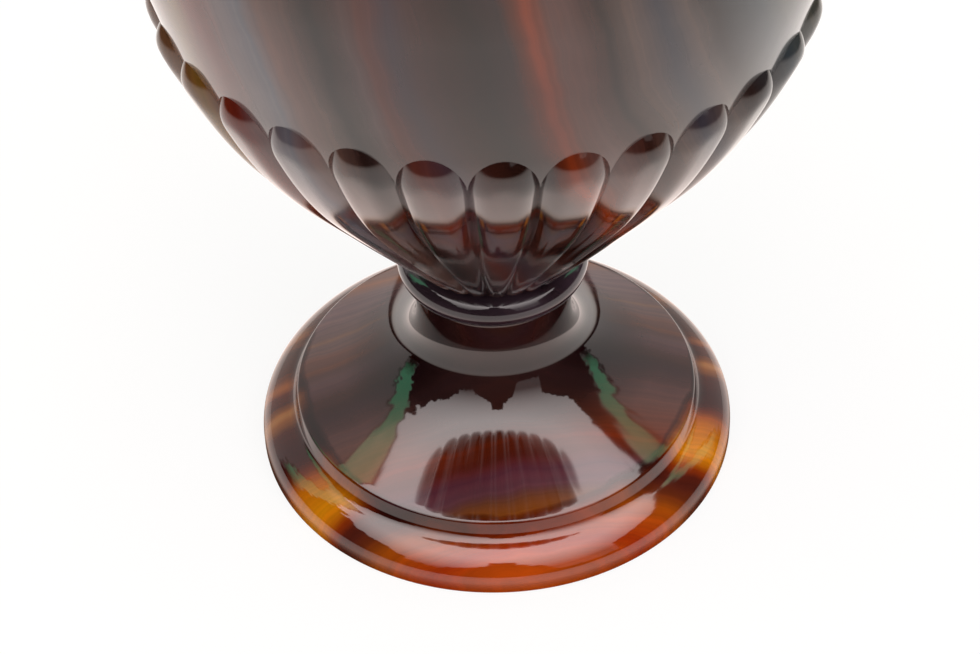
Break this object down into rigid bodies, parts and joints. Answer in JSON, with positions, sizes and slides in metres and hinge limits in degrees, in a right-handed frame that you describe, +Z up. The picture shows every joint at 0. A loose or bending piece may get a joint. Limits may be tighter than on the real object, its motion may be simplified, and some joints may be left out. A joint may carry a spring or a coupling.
{
  "type": "ewer",
  "caption": "Carved banded agate ewer with a round stepped foot, a beaded stem, a lobed egg-shaped body, a narrow neck with a pouring lip and a loop handle.",
  "frame": {"origin": "centre of the foot's resting ring, on the surface the ewer stands on", "axes": "+Z up along the stem, -Y to the front, -X to the pouring lip, +X to the handle"},
  "size_m": [0.1214, 0.1188, 0.2775],
  "materials": {
    "foot_agate": "polished banded agate, amber to brown",
    "bead_agate": "polished violet-grey agate",
    "body_agate": "polished banded agate, grey and brown with red streaks",
    "neck_agate": "polished banded agate",
    "handle_agate": "polished banded agate",
    "cement": "matt cement",
    "brass": "turned brass",
    "leather": "plain hide"
  },
  "bodies": {
    "root": {"foot": "foot_agate", "stem_bead": "bead_agate", "body": "body_agate", "neck_ring": "bead_agate", "neck": "neck_agate", "handle": "handle_agate", "foot_cement": "cement", "bead_cement": "cement", "ring_cement": "cement", "neck_cement": "cement", "handle_top_cement": "cement", "handle_low_cement": "cement", "handle_top_pin": "brass", "handle_low_pin": "brass", "stem_rod": "brass", "rod_sleeve": "brass", "stem_nut": "brass", "stem_washer": "leather"}
  },
  "joints": []
}
